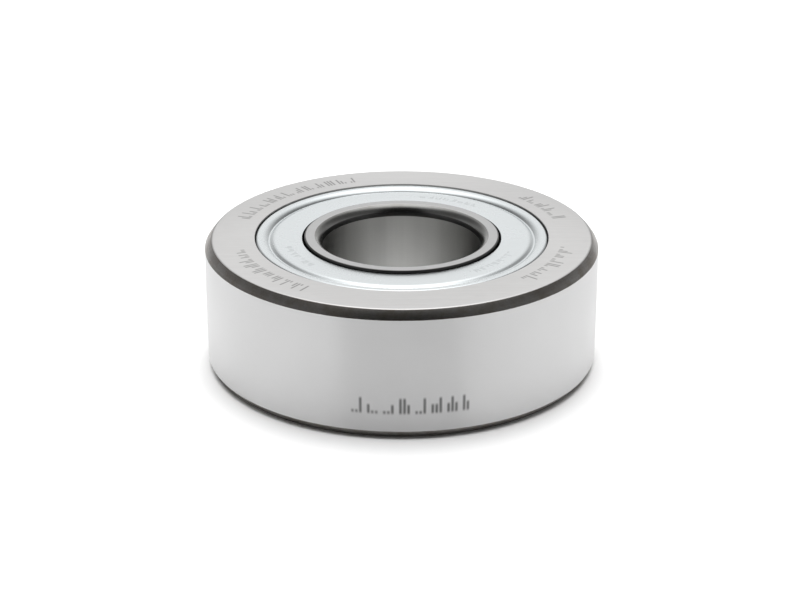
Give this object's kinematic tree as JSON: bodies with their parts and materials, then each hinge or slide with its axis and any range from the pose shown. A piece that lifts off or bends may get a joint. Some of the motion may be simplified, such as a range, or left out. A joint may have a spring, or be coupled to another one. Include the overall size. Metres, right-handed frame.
{
  "type": "cam follower roller",
  "caption": "Yoke-type cam follower: a thick crowned outer ring turns on balls round a plain inner ring, behind pressed steel shields, and is clamped on a pin through its bore.",
  "frame": {"origin": "centre of the bore, midway between the two faces of the rings", "axes": "+Z along the bore; the roller is round and the same on both sides, so X and Y are any two directions across it, with a ball of the upper row on +X"},
  "size_m": [0.062, 0.062, 0.0206],
  "materials": {
    "ring_steel": "hardened bearing steel, ground faces and running surface, dark unground corners",
    "shield_steel": "pressed sheet steel, satin zinc plate",
    "ball_steel": "lapped bearing steel with a film of grease",
    "cage_polyamide": "moulded glass-filled polyamide, matt"
  },
  "bodies": {
    "inner": {"inner_ring": "ring_steel"},
    "outer": {"outer_ring": "ring_steel", "shield_top": "shield_steel", "shield_bottom": "shield_steel"},
    "cage_top": {"cage_top": "cage_polyamide"},
    "cage_bottom": {"cage_bottom": "cage_polyamide"},
    "ball_top_01": {"ball_top_01": "ball_steel"},
    "ball_top_02": {"ball_top_02": "ball_steel"},
    "ball_top_03": {"ball_top_03": "ball_steel"},
    "ball_top_04": {"ball_top_04": "ball_steel"},
    "ball_top_05": {"ball_top_05": "ball_steel"},
    "ball_top_06": {"ball_top_06": "ball_steel"},
    "ball_top_07": {"ball_top_07": "ball_steel"},
    "ball_top_08": {"ball_top_08": "ball_steel"},
    "ball_top_09": {"ball_top_09": "ball_steel"},
    "ball_top_10": {"ball_top_10": "ball_steel"},
    "ball_top_11": {"ball_top_11": "ball_steel"},
    "ball_bottom_01": {"ball_bottom_01": "ball_steel"},
    "ball_bottom_02": {"ball_bottom_02": "ball_steel"},
    "ball_bottom_03": {"ball_bottom_03": "ball_steel"},
    "ball_bottom_04": {"ball_bottom_04": "ball_steel"},
    "ball_bottom_05": {"ball_bottom_05": "ball_steel"},
    "ball_bottom_06": {"ball_bottom_06": "ball_steel"},
    "ball_bottom_07": {"ball_bottom_07": "ball_steel"},
    "ball_bottom_08": {"ball_bottom_08": "ball_steel"},
    "ball_bottom_09": {"ball_bottom_09": "ball_steel"},
    "ball_bottom_10": {"ball_bottom_10": "ball_steel"},
    "ball_bottom_11": {"ball_bottom_11": "ball_steel"}
  },
  "joints": [
    {"name": "outer_spin", "type": "hinge", "parent": "inner", "child": "outer", "pos_m": [0, 0, 0], "axis": [0, 0, 1], "continuous": true},
    {"name": "cage_top_spin", "type": "hinge", "parent": "inner", "child": "cage_top", "pos_m": [0, 0, 0.0042], "axis": [0, 0, 1], "continuous": true},
    {"name": "cage_bottom_spin", "type": "hinge", "parent": "inner", "child": "cage_bottom", "pos_m": [0, 0, -0.0042], "axis": [0, 0, 1], "continuous": true},
    {"name": "ball_top_01_roll", "type": "hinge", "parent": "cage_top", "child": "ball_top_01", "pos_m": [0.01925, 0, 0.0042], "axis": [0.4226, 0, 0.9063], "continuous": true},
    {"name": "ball_top_02_roll", "type": "hinge", "parent": "cage_top", "child": "ball_top_02", "pos_m": [0.0162, 0.01041, 0.0042], "axis": [0.3555, 0.2285, 0.9063], "continuous": true},
    {"name": "ball_top_03_roll", "type": "hinge", "parent": "cage_top", "child": "ball_top_03", "pos_m": [0.008, 0.01751, 0.0042], "axis": [0.1756, 0.3844, 0.9063], "continuous": true},
    {"name": "ball_top_04_roll", "type": "hinge", "parent": "cage_top", "child": "ball_top_04", "pos_m": [-0.00274, 0.01906, 0.0042], "axis": [-0.0601, 0.4183, 0.9063], "continuous": true},
    {"name": "ball_top_05_roll", "type": "hinge", "parent": "cage_top", "child": "ball_top_05", "pos_m": [-0.01261, 0.01455, 0.0042], "axis": [-0.2768, 0.3194, 0.9063], "continuous": true},
    {"name": "ball_top_06_roll", "type": "hinge", "parent": "cage_top", "child": "ball_top_06", "pos_m": [-0.01847, 0.00542, 0.0042], "axis": [-0.4055, 0.1191, 0.9063], "continuous": true},
    {"name": "ball_top_07_roll", "type": "hinge", "parent": "cage_top", "child": "ball_top_07", "pos_m": [-0.01847, -0.00542, 0.0042], "axis": [-0.4055, -0.1191, 0.9063], "continuous": true},
    {"name": "ball_top_08_roll", "type": "hinge", "parent": "cage_top", "child": "ball_top_08", "pos_m": [-0.01261, -0.01455, 0.0042], "axis": [-0.2768, -0.3194, 0.9063], "continuous": true},
    {"name": "ball_top_09_roll", "type": "hinge", "parent": "cage_top", "child": "ball_top_09", "pos_m": [-0.00274, -0.01906, 0.0042], "axis": [-0.0601, -0.4183, 0.9063], "continuous": true},
    {"name": "ball_top_10_roll", "type": "hinge", "parent": "cage_top", "child": "ball_top_10", "pos_m": [0.008, -0.01751, 0.0042], "axis": [0.1756, -0.3844, 0.9063], "continuous": true},
    {"name": "ball_top_11_roll", "type": "hinge", "parent": "cage_top", "child": "ball_top_11", "pos_m": [0.0162, -0.01041, 0.0042], "axis": [0.3555, -0.2285, 0.9063], "continuous": true},
    {"name": "ball_bottom_01_roll", "type": "hinge", "parent": "cage_bottom", "child": "ball_bottom_01", "pos_m": [0.01847, 0.00542, -0.0042], "axis": [-0.4055, -0.1191, 0.9063], "continuous": true},
    {"name": "ball_bottom_02_roll", "type": "hinge", "parent": "cage_bottom", "child": "ball_bottom_02", "pos_m": [0.01261, 0.01455, -0.0042], "axis": [-0.2768, -0.3194, 0.9063], "continuous": true},
    {"name": "ball_bottom_03_roll", "type": "hinge", "parent": "cage_bottom", "child": "ball_bottom_03", "pos_m": [0.00274, 0.01906, -0.0042], "axis": [-0.0601, -0.4183, 0.9063], "continuous": true},
    {"name": "ball_bottom_04_roll", "type": "hinge", "parent": "cage_bottom", "child": "ball_bottom_04", "pos_m": [-0.008, 0.01751, -0.0042], "axis": [0.1756, -0.3844, 0.9063], "continuous": true},
    {"name": "ball_bottom_05_roll", "type": "hinge", "parent": "cage_bottom", "child": "ball_bottom_05", "pos_m": [-0.0162, 0.01041, -0.0042], "axis": [0.3555, -0.2285, 0.9063], "continuous": true},
    {"name": "ball_bottom_06_roll", "type": "hinge", "parent": "cage_bottom", "child": "ball_bottom_06", "pos_m": [-0.01925, 0, -0.0042], "axis": [0.4226, 0, 0.9063], "continuous": true},
    {"name": "ball_bottom_07_roll", "type": "hinge", "parent": "cage_bottom", "child": "ball_bottom_07", "pos_m": [-0.0162, -0.01041, -0.0042], "axis": [0.3555, 0.2285, 0.9063], "continuous": true},
    {"name": "ball_bottom_08_roll", "type": "hinge", "parent": "cage_bottom", "child": "ball_bottom_08", "pos_m": [-0.008, -0.01751, -0.0042], "axis": [0.1756, 0.3844, 0.9063], "continuous": true},
    {"name": "ball_bottom_09_roll", "type": "hinge", "parent": "cage_bottom", "child": "ball_bottom_09", "pos_m": [0.00274, -0.01906, -0.0042], "axis": [-0.0601, 0.4183, 0.9063], "continuous": true},
    {"name": "ball_bottom_10_roll", "type": "hinge", "parent": "cage_bottom", "child": "ball_bottom_10", "pos_m": [0.01261, -0.01455, -0.0042], "axis": [-0.2768, 0.3194, 0.9063], "continuous": true},
    {"name": "ball_bottom_11_roll", "type": "hinge", "parent": "cage_bottom", "child": "ball_bottom_11", "pos_m": [0.01847, -0.00542, -0.0042], "axis": [-0.4055, 0.1191, 0.9063], "continuous": true}
  ],
  "couplings": [
    {"joint": "cage_top_spin", "follows": "outer_spin", "ratio": 0.58408},
    {"joint": "cage_bottom_spin", "follows": "outer_spin", "ratio": 0.58408},
    {"joint": "ball_top_01_roll", "follows": "outer_spin", "ratio": 2.6186},
    {"joint": "ball_top_02_roll", "follows": "outer_spin", "ratio": 2.6186},
    {"joint": "ball_top_03_roll", "follows": "outer_spin", "ratio": 2.6186},
    {"joint": "ball_top_04_roll", "follows": "outer_spin", "ratio": 2.6186},
    {"joint": "ball_top_05_roll", "follows": "outer_spin", "ratio": 2.6186},
    {"joint": "ball_top_06_roll", "follows": "outer_spin", "ratio": 2.6186},
    {"joint": "ball_top_07_roll", "follows": "outer_spin", "ratio": 2.6186},
    {"joint": "ball_top_08_roll", "follows": "outer_spin", "ratio": 2.6186},
    {"joint": "ball_top_09_roll", "follows": "outer_spin", "ratio": 2.6186},
    {"joint": "ball_top_10_roll", "follows": "outer_spin", "ratio": 2.6186},
    {"joint": "ball_top_11_roll", "follows": "outer_spin", "ratio": 2.6186},
    {"joint": "ball_bottom_01_roll", "follows": "outer_spin", "ratio": 2.6186},
    {"joint": "ball_bottom_02_roll", "follows": "outer_spin", "ratio": 2.6186},
    {"joint": "ball_bottom_03_roll", "follows": "outer_spin", "ratio": 2.6186},
    {"joint": "ball_bottom_04_roll", "follows": "outer_spin", "ratio": 2.6186},
    {"joint": "ball_bottom_05_roll", "follows": "outer_spin", "ratio": 2.6186},
    {"joint": "ball_bottom_06_roll", "follows": "outer_spin", "ratio": 2.6186},
    {"joint": "ball_bottom_07_roll", "follows": "outer_spin", "ratio": 2.6186},
    {"joint": "ball_bottom_08_roll", "follows": "outer_spin", "ratio": 2.6186},
    {"joint": "ball_bottom_09_roll", "follows": "outer_spin", "ratio": 2.6186},
    {"joint": "ball_bottom_10_roll", "follows": "outer_spin", "ratio": 2.6186},
    {"joint": "ball_bottom_11_roll", "follows": "outer_spin", "ratio": 2.6186}
  ]
}
